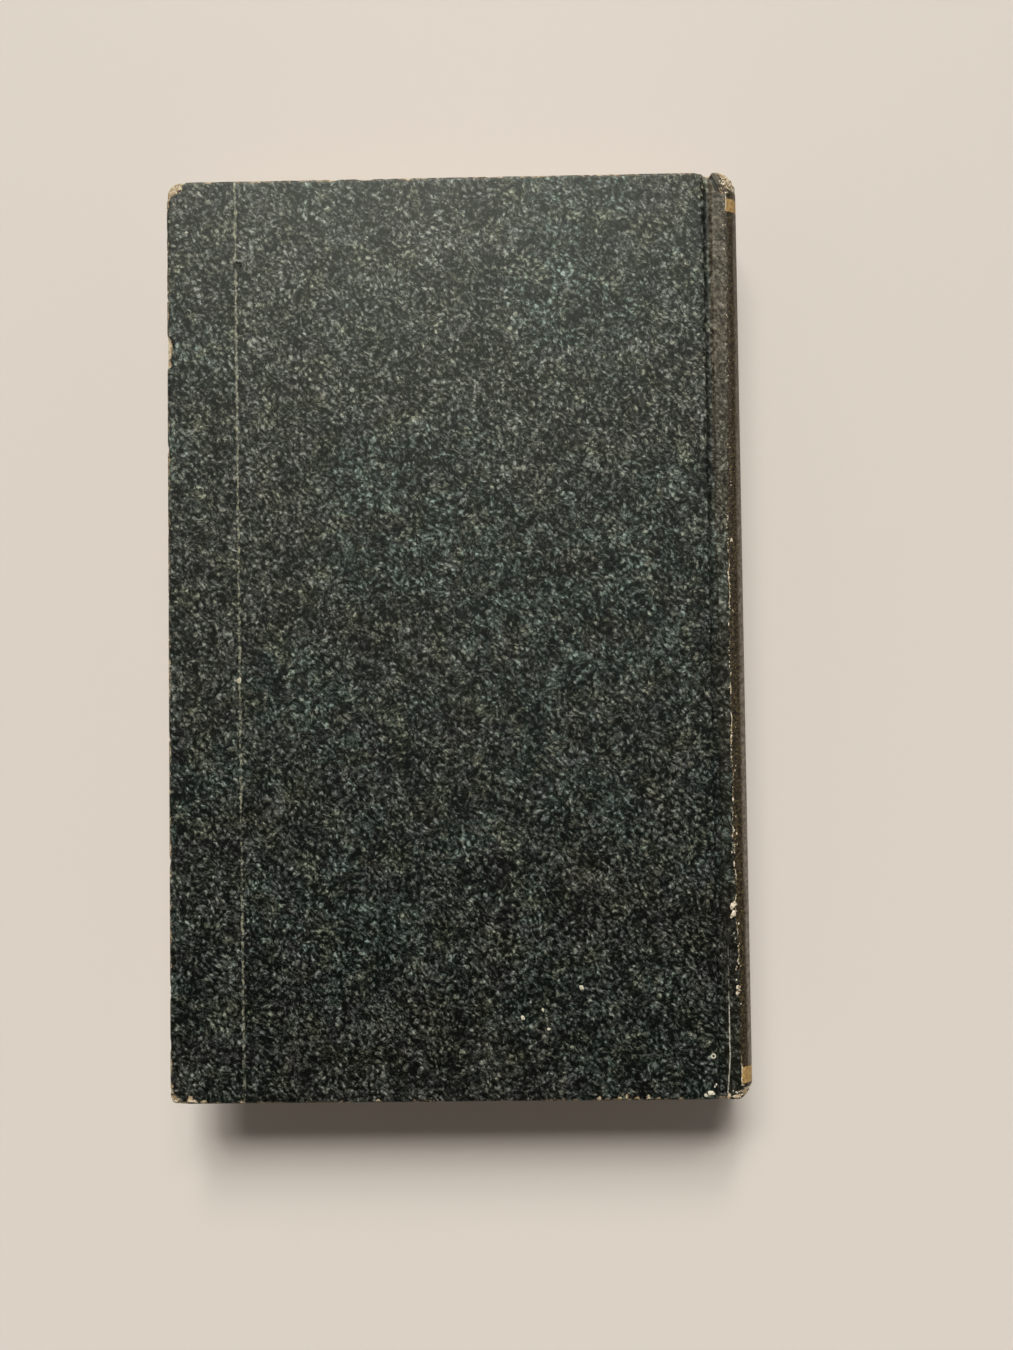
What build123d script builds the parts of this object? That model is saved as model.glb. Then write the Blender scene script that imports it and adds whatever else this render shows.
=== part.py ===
from build123d import *

import os
from math import asin, atan2, degrees, sqrt

# A case-bound book lying on its front cover: spine towards +X, head towards +Y, back cover on top.
# The origin is on the surface it lies on, under the middle of its outline.

# Case, measured over its paper covering
case_height = 190.0
fore_edge_to_joint = 112.2
joint_to_spine = 6.7

# Boards and the sheets glued to them
board_thickness = 2.2
covering = 0.25
turn_in = 14.0
pastedown_thickness = 0.2
pastedown_margin = 3.0
hinge_cloth_thickness = 0.2
hinge_cloth_width = 24.0
hinge_cloth_end_gap = 6.0

# Rounded edges and worn corners of the covered boards
edge_radius = 0.7
inner_edge_radius = 0.45
head_corner_radius = 2.9
tail_corner_radius = 1.25

# Joint groove along each board, and the shoulder of the spine beside it
groove_radius = 0.9
joint_slit = 0.05
crest_drop = 0.2
lip_radius = 0.65
shoulder_reach = 5.9
shoulder_radius = 2.6

# Spine stiffener and label
inlay_thickness = 0.6
inlay_edge_drop = 2.7
label_thickness = 0.15
label_edge_drop = 0.03
label_head_margin = 4.0
label_tail_margin = 2.7

# Page block, rounded and backed
pages_thickness = 15.0
square = 3.0
fore_edge_hollow = 1.9
flyleaf_thickness = 0.15
backing_run = 1.5
shoulder_tip_reach = 1.5
mull_thickness = 0.3
band_radius = 0.8
band_sink = 0.5
band_flange = 9.0
band_end_margin = 0.6

# Clearances
cover_clearance = 0.1
hollow_gap = 0.2
seat_clearance = 0.05
cloth_gap = 0.5
overrun = 1.0

# Heights above the surface, for the back cover on top
cover_thickness = covering + board_thickness + covering + pastedown_thickness
book_thickness = 2 * (cover_thickness + cover_clearance + flyleaf_thickness) + pages_thickness
mid_height = book_thickness / 2
board_top = book_thickness - covering
board_inner = board_top - board_thickness
turn_in_face = board_inner - covering
pastedown_face = turn_in_face - pastedown_thickness

# Places across the book
book_width = fore_edge_to_joint + joint_to_spine + label_thickness
fore_edge_x = -book_width / 2
joint_x = fore_edge_x + fore_edge_to_joint
spine_x = joint_x + joint_to_spine
head_y = case_height / 2

# Cover beside its groove: its rounded edge runs into the round of the groove
edge_reach = sqrt(groove_radius**2 + 2 * groove_radius * edge_radius)
edge_angle = degrees(atan2(edge_radius, edge_reach))
slit_angle = degrees(asin(joint_slit / groove_radius))
board_spine_x = joint_x - edge_reach + edge_radius - covering
cover_spine_x = board_spine_x + covering

# Spine section, measured up and down from the middle of the thickness
outer_level = mid_height
crest_level = outer_level - crest_drop
lip_drop = crest_drop + lip_radius
lip_reach = sqrt((groove_radius + lip_radius) ** 2 - lip_drop**2)
lip_angle = degrees(atan2(lip_drop, lip_reach))
shoulder_x = joint_x + shoulder_reach
shoulder_middle_x = joint_x + shoulder_reach / 2
spine_rise = joint_to_spine - shoulder_reach
spine_round = (crest_level**2 + spine_rise**2) / (2 * spine_rise)
spine_centre_x = spine_x - spine_round
shoulder_level = crest_level - shoulder_radius
shoulder_start_x = spine_centre_x + sqrt((spine_round - shoulder_radius) ** 2 - shoulder_level**2)
fold_depth = covering + inlay_thickness + covering
inlay_level = crest_level - inlay_edge_drop
label_level = crest_level - label_edge_drop

# Page block section, from the same middle
pages_level = pages_thickness / 2
pages_height = case_height - 2 * square
pages_head = pages_height / 2
pages_fore_x = fore_edge_x + square
backing_x = joint_x - backing_run
tip_x = joint_x + shoulder_tip_reach
tip_level = crest_level - covering - seat_clearance - mull_thickness
backed_x = spine_x - fold_depth - hollow_gap - mull_thickness
backed_start_x = shoulder_start_x
backed_rise = backed_x - backed_start_x
backed_round = (tip_level**2 + backed_rise**2) / (2 * backed_rise)
backed_centre_x = backed_x - backed_round

# Planes of the section, of symmetry between the covers, and between head and tail
section = Plane((0, 0, mid_height), x_dir=(1, 0, 0), z_dir=(0, -1, 0))
between_covers = Plane.XY.offset(mid_height)
between_ends = Plane.XZ


def plan_between(level, x_start, x_end, y_start, y_end):
    """A rectangle of the plan at a level, from its limits."""
    with BuildSketch(Plane.XY.offset(level)) as plan:
        with Locations(((x_start + x_end) / 2, (y_start + y_end) / 2)):
            Rectangle(x_end - x_start, y_end - y_start)
    return plan.sketch


def cover_plan(level, inset):
    """The plan of a covered board at a level, inset from its outer faces, with worn fore-edge corners."""
    with BuildSketch(Plane.XY.offset(level)) as plan:
        with Locations(((fore_edge_x + cover_spine_x) / 2, 0)):
            Rectangle(cover_spine_x - fore_edge_x - 2 * inset, case_height - 2 * inset)
        fillet(plan.vertices().group_by(Axis.X)[0].sort_by(Axis.Y)[-1], head_corner_radius - inset)
        fillet(plan.vertices().group_by(Axis.X)[0].sort_by(Axis.Y)[0], tail_corner_radius - inset)
    return plan.sketch


def spine_band(outer_depth, inner_depth, level):
    """The spine's section between two depths under its outer face, within a level of the middle."""
    with BuildSketch(section) as band:
        offset(spine_outline.sketch_local, amount=-outer_depth)
        offset(spine_outline.sketch_local, amount=-inner_depth, mode=Mode.SUBTRACT)
        with Locations(((shoulder_middle_x + spine_x + overrun) / 2, 0)):
            Rectangle(spine_x + overrun - shoulder_middle_x, 2 * level, mode=Mode.INTERSECT)
    return band.sketch


# Back board
with BuildPart() as back_board:
    extrude(cover_plan(board_inner, covering), amount=board_thickness)
    fillet(back_board.edges().group_by(Axis.Z)[-1], edge_radius - covering)
    fillet(back_board.edges().group_by(Axis.Z)[0].sort_by(Axis.X)[:-1], inner_edge_radius - covering)

# Back covering paper: wrapped round three edges of the board, and down into the joint groove
with BuildPart() as back_cover_paper:
    extrude(cover_plan(turn_in_face, 0), amount=book_thickness - turn_in_face)
    fillet(back_cover_paper.edges().group_by(Axis.Z)[-1], edge_radius)
    fillet(back_cover_paper.edges().group_by(Axis.Z)[0].sort_by(Axis.X)[:-1], inner_edge_radius)
    spine_edge = plan_between(turn_in_face, board_spine_x, joint_x, -head_y, head_y)
    extrude(spine_edge, amount=book_thickness - edge_radius - turn_in_face, mode=Mode.SUBTRACT)
    bare_inside = plan_between(
        turn_in_face, fore_edge_x + turn_in, joint_x, turn_in - head_y, head_y - turn_in
    )
    extrude(bare_inside, amount=covering, mode=Mode.SUBTRACT)
    add(back_board.part, mode=Mode.SUBTRACT)
    with BuildSketch(section):
        with BuildLine():
            groove_start = 180 + edge_angle
            groove_sweep = 90 - edge_angle - slit_angle
            outside = CenterArc((joint_x, outer_level), groove_radius, groove_start, groove_sweep)
            inside = CenterArc((joint_x, outer_level), groove_radius + covering, groove_start, groove_sweep)
            Line(outside @ 0, inside @ 0)
            Line(outside @ 1, inside @ 1)
        make_face()
    extrude(amount=head_y - covering, both=True)

# Back hinge cloth: the gauze of the spine, glued down inside the board
cloth_end = head_y - turn_in - hinge_cloth_end_gap
cloth_start_x = board_spine_x - hinge_cloth_width
with BuildPart() as back_hinge_cloth:
    cloth_face = board_inner - hinge_cloth_thickness
    cloth_plan = plan_between(cloth_face, cloth_start_x, board_spine_x, -cloth_end, cloth_end)
    extrude(cloth_plan, amount=hinge_cloth_thickness)

# Back pastedown: it dips between the turn-ins and lies over the hinge cloth
with BuildPart() as back_pastedown:
    leaf_end = head_y - pastedown_margin
    leaf_plan = plan_between(
        pastedown_face, fore_edge_x + pastedown_margin, board_spine_x, -leaf_end, leaf_end
    )
    extrude(leaf_plan, amount=pastedown_thickness)
    bare_end = head_y - turn_in
    bare_plan = plan_between(turn_in_face, fore_edge_x + turn_in, board_spine_x, -bare_end, bare_end)
    extrude(bare_plan, amount=covering)
    dip_end = bare_end - pastedown_thickness
    dip_start_x = fore_edge_x + turn_in + pastedown_thickness
    dip_end_x = cloth_start_x - pastedown_thickness
    dip_plan = plan_between(pastedown_face, dip_start_x, dip_end_x, -dip_end, dip_end)
    extrude(dip_plan, amount=covering, mode=Mode.SUBTRACT)
    add(back_hinge_cloth.part, mode=Mode.SUBTRACT)

# Front cover: the same pieces below the pages
with BuildPart() as front_board:
    mirror(back_board.part, about=between_covers)

with BuildPart() as front_cover_paper:
    mirror(back_cover_paper.part, about=between_covers)

with BuildPart() as front_hinge_cloth:
    mirror(back_hinge_cloth.part, about=between_covers)

with BuildPart() as front_pastedown:
    mirror(back_pastedown.part, about=between_covers)

# Outer section of the spine: groove, shoulder, rounded back, shoulder, groove
with BuildSketch(section) as spine_outline:
    with BuildLine():
        groove = CenterArc(
            (joint_x, outer_level), groove_radius, slit_angle - 90, 90 - slit_angle - lip_angle
        )
        lip = CenterArc(
            (joint_x + lip_reach, crest_level - lip_radius), lip_radius, 180 - lip_angle, lip_angle - 90
        )
        crest = Line(lip @ 1, (shoulder_x, crest_level))
        mirror(about=Plane.XZ)
        ThreePointArc((shoulder_x, crest_level), (spine_x, 0), (shoulder_x, -crest_level))
        Line(groove @ 0, ((groove @ 0).X, -(groove @ 0).Y))
    make_face()
    fillet(spine_outline.vertices().group_by(Axis.X)[-1], shoulder_radius)

# Spine inlay: the card that stiffens the spine
with BuildPart() as spine_inlay:
    inlay_band = spine_band(covering, covering + inlay_thickness, inlay_level)
    extrude(inlay_band, amount=head_y - covering, both=True)

# Spine covering paper: over the shoulders and the inlay, and turned in at head and tail
with BuildPart() as spine_cover_paper:
    with BuildSketch(section):
        add(spine_outline.sketch_local)
        offset(spine_outline.sketch_local, amount=-covering, mode=Mode.SUBTRACT)
        inside_level = outer_level - groove_radius - covering
        with Locations((joint_x, 0)):
            Rectangle(2 * (joint_slit + covering + seat_clearance), 2 * inside_level, mode=Mode.SUBTRACT)
    extrude(amount=head_y, both=True)
    extrude(spine_band(covering, fold_depth, inlay_level), amount=head_y, both=True)
    add(spine_inlay.part, mode=Mode.SUBTRACT)
    bare_band = spine_band(covering + inlay_thickness, fold_depth, inlay_level)
    extrude(bare_band, amount=head_y - turn_in, both=True, mode=Mode.SUBTRACT)

# Spine label, from shoulder to shoulder
with BuildPart() as spine_label:
    label_band = spine_band(-label_thickness, 0, label_level)
    extrude(label_band, amount=head_y - label_head_margin, dir=(0, 1, 0))
    extrude(label_band, amount=head_y - label_tail_margin, dir=(0, -1, 0))

# Page block: hollow fore edge, rounded back, and shoulders bent outward over the boards
with BuildPart() as text_block:
    with BuildSketch(section):
        with BuildLine():
            face = Line((pages_fore_x, pages_level), (backing_x, pages_level))
            flare = TangentArc(face @ 1, (tip_x, tip_level), tangent=face % 1)
            Line(flare @ 1, (backed_start_x, tip_level))
            mirror(about=Plane.XZ)
            ThreePointArc((backed_start_x, tip_level), (backed_x, 0), (backed_start_x, -tip_level))
            hollow_x = pages_fore_x + fore_edge_hollow
            ThreePointArc((pages_fore_x, pages_level), (hollow_x, 0), (pages_fore_x, -pages_level))
        make_face()
    extrude(amount=pages_head, both=True)

# Back flyleaf: the free half of the endpaper, following the page block up to its shoulder
with BuildPart() as back_flyleaf:
    with BuildSketch(section):
        with BuildLine() as leaf:
            face = Line((pages_fore_x, pages_level), (backing_x, pages_level))
            TangentArc(face @ 1, (tip_x, tip_level), tangent=face % 1)
            offset(leaf.line, amount=flyleaf_thickness, side=Side.LEFT)
        make_face()
    extrude(amount=pages_head, both=True)

with BuildPart() as front_flyleaf:
    mirror(back_flyleaf.part, about=between_covers)

# Spine mull: gauze glued over the back of the page block, between the two bands
with BuildPart() as spine_mull:
    with BuildSketch(section):
        with BuildLine() as back:
            upper = Line((tip_x, tip_level), (backed_start_x, tip_level))
            ThreePointArc(upper @ 1, (backed_x, 0), (backed_start_x, -tip_level))
            Line((backed_start_x, -tip_level), (tip_x, -tip_level))
            offset(back.line, amount=mull_thickness, side=Side.LEFT)
        make_face()
    extrude(amount=pages_head - band_flange - cloth_gap, both=True)

# Headband: a bead on the head of the pages, with its cloth glued to their back
band_level = pages_level - band_end_margin
band_angle = degrees(asin(band_level / backed_round))
band_axis = Axis((backed_centre_x, 0, mid_height), (0, -1, 0))
band_middle = Plane((backed_centre_x, 0, mid_height), x_dir=(1, 0, 0), z_dir=(0, 0, 1))
band_start = band_middle.rotated((0, band_angle, 0))
with BuildPart() as headband:
    with BuildSketch(band_start):
        with Locations((backed_round - band_sink, pages_head + band_radius)):
            Circle(band_radius)
        flange_middle = pages_head + (band_radius - band_flange) / 2
        with Locations((backed_round + mull_thickness / 2, flange_middle)):
            Rectangle(mull_thickness, band_flange + band_radius)
    revolve(axis=band_axis, revolution_arc=2 * band_angle)

with BuildPart() as tailband:
    mirror(headband.part, about=between_ends)

pieces = {
    "back_board": back_board,
    "back_cover_paper": back_cover_paper,
    "back_hinge_cloth": back_hinge_cloth,
    "back_pastedown": back_pastedown,
    "front_board": front_board,
    "front_cover_paper": front_cover_paper,
    "front_hinge_cloth": front_hinge_cloth,
    "front_pastedown": front_pastedown,
    "spine_inlay": spine_inlay,
    "spine_cover_paper": spine_cover_paper,
    "spine_label": spine_label,
    "spine_mull": spine_mull,
    "text_block": text_block,
    "back_flyleaf": back_flyleaf,
    "front_flyleaf": front_flyleaf,
    "headband": headband,
    "tailband": tailband,
}

os.makedirs("parts", exist_ok=True)
for name, piece in pieces.items():
    piece.part.label = name
    export_step(piece.part, f"parts/{name}.step")
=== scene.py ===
import math
from functools import reduce

import bpy
import numpy as np
from mathutils import Euler, Matrix, Vector


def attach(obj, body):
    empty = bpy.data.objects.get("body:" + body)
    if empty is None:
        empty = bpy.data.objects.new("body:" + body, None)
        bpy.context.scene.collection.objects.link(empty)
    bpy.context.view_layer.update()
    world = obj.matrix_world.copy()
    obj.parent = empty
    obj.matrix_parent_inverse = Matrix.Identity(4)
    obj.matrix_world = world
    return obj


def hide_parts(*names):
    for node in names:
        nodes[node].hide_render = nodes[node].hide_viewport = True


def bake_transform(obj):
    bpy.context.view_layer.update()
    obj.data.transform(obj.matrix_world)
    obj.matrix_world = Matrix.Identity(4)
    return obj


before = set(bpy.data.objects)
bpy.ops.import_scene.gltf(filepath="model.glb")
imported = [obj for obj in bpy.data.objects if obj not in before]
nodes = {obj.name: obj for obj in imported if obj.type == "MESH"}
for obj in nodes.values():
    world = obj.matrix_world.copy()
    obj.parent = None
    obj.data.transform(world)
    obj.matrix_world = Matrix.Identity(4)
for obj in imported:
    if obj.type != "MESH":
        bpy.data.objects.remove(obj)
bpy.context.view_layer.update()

# Sizes of the book in millimetres: those of the solids, and of its wear and fine detail
MM = 0.001
fore_x = -59.525
joint_x = 52.675
spine_x = 59.375
head_y = 95.0
top = 21.3
mid = top / 2
edge_radius = 0.7
inner_edge_radius = 0.45
cover_depth = 2.7
head_corner = 2.9
tail_corner = 1.25
groove_radius = 0.9
crest = top - 0.2
lip_radius = 0.65
shoulder_reach = 5.9
shoulder_radius = 2.6
pages_level = 7.5
pages_head = 92.0
pages_fore_x = fore_x + 3.0
fore_edge_hollow = 1.9
tip_level = 9.85
backing_x = joint_x - 1.5
tip_x = joint_x + 1.5
label_thickness = 0.15
label_head = 91.0
label_tail = -92.3
fold_depth = 1.1
back_gap = 0.5
card_level = 7.75
card_end = 92.4
card_outer = 0.27
card_middle = 0.3
card_inner = 0.85
band_radius = 0.8
band_end_margin = 0.6
band_sink = 0.5
endpaper_thickness = 0.12
worn_depth = 0.2

# Width that the flat coordinates of a sheet are divided by, to lie between 0 and 1
SHEET = 250.0

# Marks on the back covering, in flat coordinates: u across it to the spine, v along it to the head
turn_in_u = -44.75
groove_u = 52.5
split_u = 54.78
label_u = 56.8
nick_v = 77.05
scratch_v = 78.15
label_bands = ((87.95, 1.3), (-89.95, 1.6))

# Wear of the covering at the ends of the spine: loss at its round corners, and dip at the groove
corner_loss = 1.9
head_dip = 0.45
tail_dip = 0.15

# Section of the spine: circles of the groove, lip, shoulder and back
edge_reach = math.sqrt(groove_radius**2 + 2 * groove_radius * edge_radius)
edge_angle = math.degrees(math.atan2(edge_radius, edge_reach))
lip_drop = top - crest + lip_radius
lip_reach = math.sqrt((groove_radius + lip_radius) ** 2 - lip_drop**2)
lip_angle = math.degrees(math.atan2(lip_drop, lip_reach))
spine_rise = spine_x - joint_x - shoulder_reach
crest_level = crest - mid
spine_round = (crest_level**2 + spine_rise**2) / (2 * spine_rise)
spine_centre_x = spine_x - spine_round
shoulder_level = crest_level - shoulder_radius
shoulder_x = spine_centre_x + math.sqrt((spine_round - shoulder_radius) ** 2 - shoulder_level**2)
shoulder_angle = math.degrees(math.asin(shoulder_level / (spine_round - shoulder_radius)))
flat_end_x = joint_x - edge_reach
backed_x = spine_x - fold_depth - back_gap
backed_rise = backed_x - shoulder_x
backed_round = (tip_level**2 + backed_rise**2) / (2 * backed_rise)
backed_centre_x = backed_x - backed_round


# Smooth random numbers

def smooth(share):
    """A share from 0 to 1, eased at both ends."""
    return share * share * (3 - 2 * share)


def wander(values, step, seed):
    """Smooth random numbers from -1 to 1 along a length, changing over about one step."""
    count, shift = 4096, 1000.0
    knots = np.random.default_rng(seed).uniform(-1, 1, count)
    place = np.asarray(values, float) / step + shift
    low = np.floor(place).astype(int)
    share = smooth(place - low)
    return knots[low % count] * (1 - share) + knots[(low + 1) % count] * share


def patches(x, y, step, seed):
    """The same over a plane."""
    count, shift = 512, 200.0
    knots = np.random.default_rng(seed).uniform(-1, 1, (count, count))
    px, py = np.asarray(x, float) / step + shift, np.asarray(y, float) / step + shift
    ix, iy = np.floor(px).astype(int), np.floor(py).astype(int)
    sx, sy = smooth(px - ix), smooth(py - iy)

    def row(j):
        return knots[ix % count, j % count] * (1 - sx) + knots[(ix + 1) % count, j % count] * sx

    return row(iy) * (1 - sy) + row(iy + 1) * sy


def step_up(low, high, values):
    """0 below low, 1 above high, and smooth between."""
    return smooth(np.clip((np.asarray(values, float) - low) / (high - low), 0, 1))


def waist(v):
    """1 along the middle of the book, where the label reaches further up the shoulder, 0 at its ends."""
    return step_up(72, 10, v) * step_up(-88, -30, v)


# Meshes

def whole_faces(points, faces):
    """The faces that have an area, each without corners that lie on one another."""
    digits, least_area = 5, 2e-6
    spots = [tuple(p) for p in np.round(np.asarray(points, float), digits).tolist()]
    kept = []
    for face in faces:
        corners = tuple(c for k, c in enumerate(face) if spots[c] != spots[face[k - 1]])
        ring = [spots[c] for c in corners]
        sides = list(zip(ring, ring[1:] + ring[:1]))
        planes = ((1, 2), (2, 0), (0, 1))
        normal = [sum((a[i] - b[i]) * (a[j] + b[j]) for a, b in sides) for i, j in planes]
        if math.hypot(*normal) > least_area:
            kept.append(corners)
    return kept


def put(name, data):
    """An object in the scene that shows a mesh, a lamp or a camera."""
    made = bpy.data.objects.new(name, data)
    bpy.context.scene.collection.objects.link(made)
    return made


def make_piece(name, points, faces, material, flat=None, wear=None):
    """A smooth mesh from points in millimetres, with flat coordinates and wear for each point."""
    mesh = bpy.data.meshes.new(name)
    mesh.from_pydata((np.asarray(points, float) * MM).tolist(), [], whole_faces(points, faces))
    mesh.update()
    if flat is not None:
        layer = mesh.uv_layers.new(name="flat")
        corners = np.empty(len(mesh.loops), np.int32)
        mesh.loops.foreach_get("vertex_index", corners)
        spread = np.asarray(flat)[corners] / SHEET + 0.5
        layer.data.foreach_set("uv", spread.astype(np.float32).ravel())
    if wear is not None:
        attribute = mesh.attributes.new("wear", "FLOAT", "POINT")
        attribute.data.foreach_set("value", np.asarray(wear, np.float32))
    mesh.polygons.foreach_set("use_smooth", np.ones(len(mesh.polygons), bool))
    mesh.materials.append(material)
    return put(name, mesh)


def turned_over(points, faces):
    """A piece mirrored in the book's middle plane, for the front cover."""
    return points * (1, 1, -1) + (0, 0, top), [f[::-1] for f in faces]


def grid_faces(rows, columns, first=0, flip=False):
    """Quads of a grid of points stored row by row."""
    faces = []
    for r in range(rows - 1):
        for c in range(columns - 1):
            a = first + r * columns + c
            quad = (a, a + 1, a + columns + 1, a + columns)
            faces.append(quad[::-1] if flip else quad)
    return faces


def arc(centre_x, centre_z, radius, start, end, count):
    """Points of an arc after its start, angles in degrees."""
    angles = np.radians(np.linspace(start, end, count + 1)[1:])
    return np.stack([centre_x + radius * np.cos(angles), centre_z + radius * np.sin(angles)], 1)


def lengths(path):
    """Length along a path of points up to each of them."""
    return np.concatenate([[0], np.cumsum(np.hypot(*np.diff(path, axis=0).T))])


def covering_section(fineness):
    """The covering's section from the flat of a cover, through the groove, to the middle of the spine."""

    def count(n):
        return max(2, round(n * fineness))

    runs = [
        np.array([[flat_end_x, top]]),
        arc(flat_end_x, top - edge_radius, edge_radius, 90, edge_angle, count(8)),
        arc(joint_x, top, groove_radius, 180 + edge_angle, 360 - lip_angle, count(22)),
        arc(joint_x + lip_reach, crest - lip_radius, lip_radius, 180 - lip_angle, 90, count(8)),
        np.linspace((joint_x + lip_reach, crest), (shoulder_x, crest), count(6) + 1)[1:],
        arc(shoulder_x, crest - shoulder_radius, shoulder_radius, 90, shoulder_angle, count(16)),
        arc(spine_centre_x, mid, spine_round, shoulder_angle, 0, count(12)),
    ]
    return np.concatenate(runs)


def worn_ends(u, y):
    """How far the covering's ends are worn back: round at the spine's corners, dipped at the groove."""
    past_shoulder = corner_loss * step_up(56.2, 60, u) * (1 - 0.5 * step_up(60.2, 63, u))
    groove_dip = np.where(y > 0, head_dip, tail_dip) * step_up(49.8, 51.8, u) * step_up(54.4, 53.3, u)
    near_end = step_up(86, 94.3, np.abs(y))
    return -np.sign(y) * near_end * (past_shoulder + groove_dip)


fine_section = covering_section(3)
fine_length = flat_end_x + lengths(fine_section)


def on_covering(u, v, lift):
    """Point and normal of the back covering's outer face at flat coordinates, lifted off it."""
    y = v + float(worn_ends(u, v))
    if u <= flat_end_x:
        return np.array([u, y, top + lift]), np.array([0.0, 0.0, 1.0])

    def at(s):
        return np.array([np.interp(s, fine_length, fine_section[:, k]) for k in (0, 1)])

    step = 0.05
    (x, z), run = at(u), at(u + step) - at(u - step)
    run /= np.hypot(*run)
    normal = np.array([-run[1], 0.0, run[0]])
    return np.array([x, y, z]) + normal * lift, normal


def edge_profiles():
    """Turned edges as (out, drop) from the outer face's border: round a board, and folded at the spine."""
    turn_in_out = (-0.5, -2, -3.2, -4.5)
    turn_in_drop = (cover_depth, cover_depth, 2.55, 2.4)
    fold_in_out = (-1, -2.5, -4, -6)
    quarter = np.radians(np.linspace(0, 90, 9)[1:])
    inner = np.radians(np.linspace(0, 90, 6)[1:])
    half = np.radians(np.linspace(0, 180, 19)[1:])
    side = np.linspace(edge_radius, cover_depth - inner_edge_radius, 6)[1:]
    out = [*edge_radius * np.sin(quarter), *[edge_radius] * len(side)]
    out += [*edge_radius - inner_edge_radius * (1 - np.cos(inner)), *turn_in_out]
    drop = [*edge_radius * (1 - np.cos(quarter)), *side]
    drop += [*cover_depth - inner_edge_radius * (1 - np.sin(inner)), *turn_in_drop]
    fold_out = [*edge_radius * np.sin(half), *fold_in_out]
    fold_drop = [*(1 - np.cos(half)) / 2, *[1.0] * len(fold_in_out)]
    return [np.array(run) for run in (out, drop, fold_out, fold_drop)]


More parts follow.
